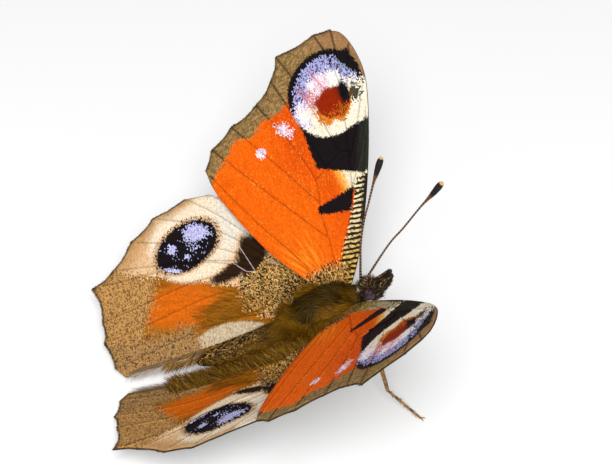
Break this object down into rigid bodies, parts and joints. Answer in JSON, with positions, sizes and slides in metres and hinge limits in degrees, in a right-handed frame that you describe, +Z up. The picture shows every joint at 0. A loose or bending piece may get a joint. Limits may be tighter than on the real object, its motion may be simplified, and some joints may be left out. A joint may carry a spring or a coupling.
{
  "type": "peacock butterfly",
  "caption": "Life-size peacock butterfly standing on its legs, wings half open and raised, feelers forward, body tipped nose up.",
  "frame": {"origin": "on the floor under the middle of the butterfly's bounding box", "axes": "+X towards the head, +Y towards its left wing tips, +Z up"},
  "size_m": [0.0354, 0.0558, 0.0263],
  "materials": {
    "fur": "golden-brown to olive hair, dense and silky",
    "dark_fur": "short blackish-brown hair flecked with gold",
    "eye": "dark brown compound eye, finely faceted and glossy",
    "feeler": "dark brown with fine pale rings",
    "forewing": "fine matt scales, orange-red with black, cream and lilac marks",
    "hindwing": "fine matt scales, orange and brown with a lilac and black eyespot",
    "leg": "tan scales with short dark spines"
  },
  "bodies": {
    "root": {"thorax": "fur", "abdomen": "dark_fur", "head": "dark_fur", "palp_left": "dark_fur", "palp_right": "dark_fur", "eye_left": "eye", "eye_right": "eye", "antenna_left": "feeler", "antenna_right": "feeler", "proboscis": "feeler", "forewing_left": "forewing", "forewing_right": "forewing", "hindwing_left": "hindwing", "hindwing_right": "hindwing", "foreleg_left": "leg", "foreleg_right": "leg", "middle_leg_left_femur": "leg", "middle_leg_left_tibia": "leg", "middle_leg_left_tarsus": "leg", "middle_leg_right_femur": "leg", "middle_leg_right_tibia": "leg", "middle_leg_right_tarsus": "leg", "hind_leg_left_femur": "leg", "hind_leg_left_tibia": "leg", "hind_leg_left_tarsus": "leg", "hind_leg_right_femur": "leg", "hind_leg_right_tibia": "leg", "hind_leg_right_tarsus": "leg"}
  },
  "joints": []
}
